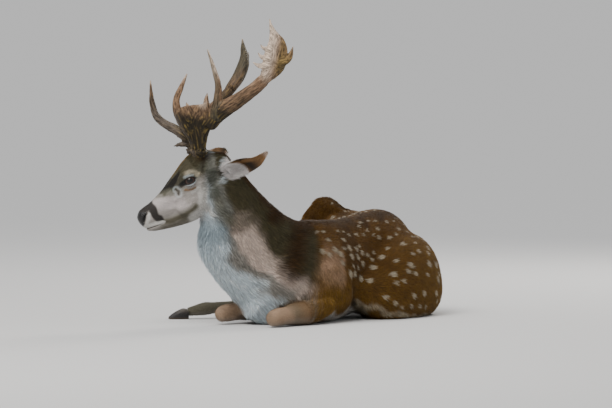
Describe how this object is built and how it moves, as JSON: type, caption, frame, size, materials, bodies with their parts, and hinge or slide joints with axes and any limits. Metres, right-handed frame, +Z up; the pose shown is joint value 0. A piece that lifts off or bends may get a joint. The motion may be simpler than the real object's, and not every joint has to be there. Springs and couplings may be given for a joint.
{
  "type": "fallow deer buck, lying",
  "caption": "Life-size still model of a fallow deer buck lying at rest with its head up and turned, palmed antlers and a spotted summer coat.",
  "frame": {"origin": "middle of the whole model's box, at the height of the floor that it lies on", "axes": "+Z up; -X the way the body points; -Y the deer's left side; the head is turned to the deer's right"},
  "size_m": [1.1398, 0.6358, 0.9089],
  "materials": {
    "coat": "short fur",
    "antler": "rough, ridged",
    "hoof": "satin",
    "eye": "wet gloss",
    "nose": "damp, pebbled"
  },
  "bodies": {
    "root": {"antler_left_beam": "antler", "antler_left_brow": "antler", "antler_left_palm": "antler", "antler_left_trez": "antler", "antler_right_beam": "antler", "antler_right_brow": "antler", "antler_right_palm": "antler", "chest": "coat", "ear_left": "coat", "ear_right": "coat", "eye_left": "eye", "eye_right": "eye", "foreleg_left": "coat", "foreleg_left_claw_inner": "hoof", "foreleg_left_claw_outer": "hoof", "foreleg_right": "coat", "foreleg_right_claw_inner": "hoof", "foreleg_right_claw_outer": "hoof", "head": "coat", "hindleg_left": "coat", "hindleg_left_claw_inner": "hoof", "hindleg_left_claw_outer": "hoof", "hindleg_left_foot": "coat", "hindleg_right": "coat", "hindleg_right_claw_inner": "hoof", "hindleg_right_claw_outer": "hoof", "hindleg_right_foot": "coat", "hindleg_right_shank": "coat", "neck": "coat", "nose": "nose", "rump": "coat", "tail": "coat"}
  },
  "joints": []
}
